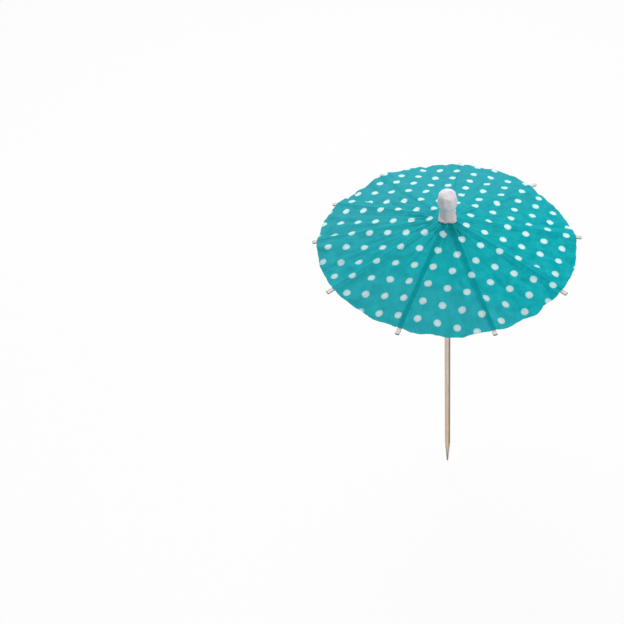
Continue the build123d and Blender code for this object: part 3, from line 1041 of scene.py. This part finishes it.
class UMBRELLA_OT_card_frame(bpy.types.Operator):
    """Finish the card ribs, stretchers and tabs, the rolled tubes and the ring"""

    bl_idname = "umbrella.card_frame"
    bl_label = "Card frame"

    # Distance in mm from a rib's tip where the grey core begins to show, and where it shows in full
    CUT_END = (0.28, 0.12)

    def execute(self, context):
        card = context.scene.umbrella.card
        shade = [0.82 * c for c in card.card_colour]
        material, tree, shader, face = plain_paper(
            "white card", card.card_colour, shade, 3.0, 0.25, 0.02 * MM)
        sides = split(tree, object_millimetres(tree))
        reach = hypotenuse(tree, sides["X"], sides["Y"])
        end = ramp(tree, reach, *[RIB_TIP / MM - away for away in self.CUT_END])
        upright = split(tree, put(tree, "ShaderNodeTexCoord").outputs["Normal"])["Z"]
        cut = ramp(tree, calc(tree, "ABSOLUTE", upright), 0.3, 0.5, 0.75, 0.0)
        core = blend_colours(tree, calc(tree, "MAXIMUM", end, cut), face, colour(card.core_colour))
        feed(tree, shader.inputs["Base Color"], core)
        strips = [f"{kind}_{rib:02d}" for kind in ("rib", "stretcher", "stretcher_tab") for rib in RIBS]
        dress(strips, material)
        rolled = plain_paper("rolled card", card.card_colour, shade, 2.0, 0.2, 0.02 * MM)[0]
        dress(["rib_collar", "runner"], rolled)
        shade = [0.7 * c for c in card.newsprint_colour]
        spacer = plain_paper("newsprint", card.newsprint_colour, shade, 1.2, 0.2, 0.03 * MM)[0]
        dress(["spacer_roll"], spacer)
        ring, tree, shader = new_material("clear plastic", Transmission_Weight=0.9, IOR=1.46)
        cloud = cloudy(tree, object_millimetres(tree), 1.3, 3.0)
        feed(tree, shader.inputs["Roughness"], ramp(tree, cloud, 0.3, 0.7, 0.08, 0.25))
        shader.inputs["Base Color"].default_value = colour(card.ring_colour)
        dress(["retaining_ring"], ring)
        return {"FINISHED"}


class UMBRELLA_OT_stage(bpy.types.Operator):
    """Set the white floor, the soft light and the camera"""

    bl_idname = "umbrella.stage"
    bl_label = "Stage"

    FLOOR_SIZE = 6
    # How much of the seen floor is plain white
    FLOOR_GLOW = 0.93
    # Lamps: name, place, width, and share of the key light's power
    LAMPS = (("key lamp", (-0.1, 0.3, 0.56), 0.35, 1.0), ("fill lamp", (0.5, -0.3, 0.42), 0.4, 0.6))
    TARGET = Vector((0, 0, RIM_HEIGHT))

    def execute(self, context):
        stage = context.scene.umbrella.stage
        context.scene.view_settings.view_transform = "Standard"
        self.add_floor(stage)
        self.add_light(context, stage)
        self.add_camera(context, stage)
        return {"FINISHED"}

    def seen(self, tree):
        """1 for rays from the camera, from gloss and through the clear plastic."""
        path = put(tree, "ShaderNodeLightPath").outputs
        bent = calc(tree, "MAXIMUM", path["Is Glossy Ray"], path["Is Transmission Ray"])
        return calc(tree, "MAXIMUM", path["Is Camera Ray"], bent)

    def add_floor(self, stage):
        """Lays a floor that looks white and keeps the object's shadow."""
        bpy.ops.object.select_all(action="DESELECT")
        bpy.ops.mesh.primitive_plane_add(size=self.FLOOR_SIZE, location=(0, 0, FLOOR_HEIGHT))
        floor = name_piece("floor")
        material, tree, shader = new_material("white floor", Roughness=0.9, Specular_IOR_Level=0.1)
        shader.inputs["Base Color"].default_value = colour(stage.floor_colour)
        glow = put(tree, "ShaderNodeEmission", {"Color": (1, 1, 1, 1), "Strength": 1.0})
        mix = put(tree, "ShaderNodeMixShader", {
            0: times(tree, self.seen(tree), self.FLOOR_GLOW),
            1: shader.outputs["BSDF"], 2: glow.outputs["Emission"],
        })
        feed(tree, tree.nodes["Material Output"].inputs["Surface"], mix.outputs["Shader"])
        floor.data.materials.append(material)

    def add_light(self, context, stage):
        """Sets an even sky that looks white, and two soft lamps."""
        world = bpy.data.worlds.new("studio")
        world.use_nodes = True
        tree = world.node_tree
        sky = tree.nodes["Background"]
        feed(tree, sky.inputs["Strength"], ramp(tree, self.seen(tree), 0.0, 1.0, stage.sky, 1.0))
        sky.inputs["Color"].default_value = (1, 1, 1, 1)
        context.scene.world = world
        for name, place, width, share in self.LAMPS:
            bpy.ops.object.light_add(type="AREA", location=place)
            lamp = name_piece(name)
            lamp.data.size = width
            lamp.data.energy = share * stage.key_power
            lamp.rotation_euler = (self.TARGET - Vector(place)).to_track_quat("-Z", "Y").to_euler()

    def add_camera(self, context, stage):
        """Sets the camera at the photograph's viewing angle."""
        away = Vector((0, -math.cos(stage.elevation), math.sin(stage.elevation)))
        bpy.ops.object.camera_add(location=self.TARGET + away * stage.distance)
        camera = name_piece("camera")
        camera.rotation_euler = (-away).to_track_quat("-Z", "Y").to_euler()
        camera.data.sensor_width = 36
        camera.data.lens = stage.lens
        camera.data.shift_x, camera.data.shift_y = stage.shift
        camera.data.clip_start = 0.01
        context.scene.camera = camera


class UMBRELLA_PT_sidebar(bpy.types.Panel):
    """Sidebar panel with the steps in order"""

    bl_idname = "UMBRELLA_PT_sidebar"
    bl_label = "Paper drink umbrella"
    bl_space_type = "VIEW_3D"
    bl_region_type = "UI"
    bl_category = "Umbrella"

    def draw(self, context):
        settings = context.scene.umbrella
        for part, operator in (
            ("canopy", "umbrella.canopy"), ("cap", "umbrella.cap"), ("wood", "umbrella.pick"),
            ("card", "umbrella.card_frame"), ("stage", "umbrella.stage"),
        ):
            box = self.layout.box()
            box.operator(operator)
            values = getattr(settings, part)
            for name in values.__annotations__:
                box.prop(values, name)


CLASSES = (
    CanopyPaper, CapPaper, PickWood, FrameCard, StudioStage, UmbrellaSettings,
    UMBRELLA_OT_canopy, UMBRELLA_OT_cap, UMBRELLA_OT_pick, UMBRELLA_OT_card_frame, UMBRELLA_OT_stage,
    UMBRELLA_PT_sidebar,
)


def register():
    """Makes the settings, the operators and the panel known to Blender."""
    for cls in CLASSES:
        bpy.utils.register_class(cls)
    bpy.types.Scene.umbrella = PointerProperty(type=UmbrellaSettings)


def unregister():
    """Takes them out again."""
    del bpy.types.Scene.umbrella
    for cls in reversed(CLASSES):
        bpy.utils.unregister_class(cls)


def main():
    """Dresses the umbrella step by step."""
    register()
    build_fibre_group()
    build_dot_group()
    bpy.ops.umbrella.stage()
    bpy.ops.umbrella.canopy()
    bpy.ops.umbrella.cap()
    bpy.ops.umbrella.pick()
    bpy.ops.umbrella.card_frame()


if __name__ == "__main__":
    main()
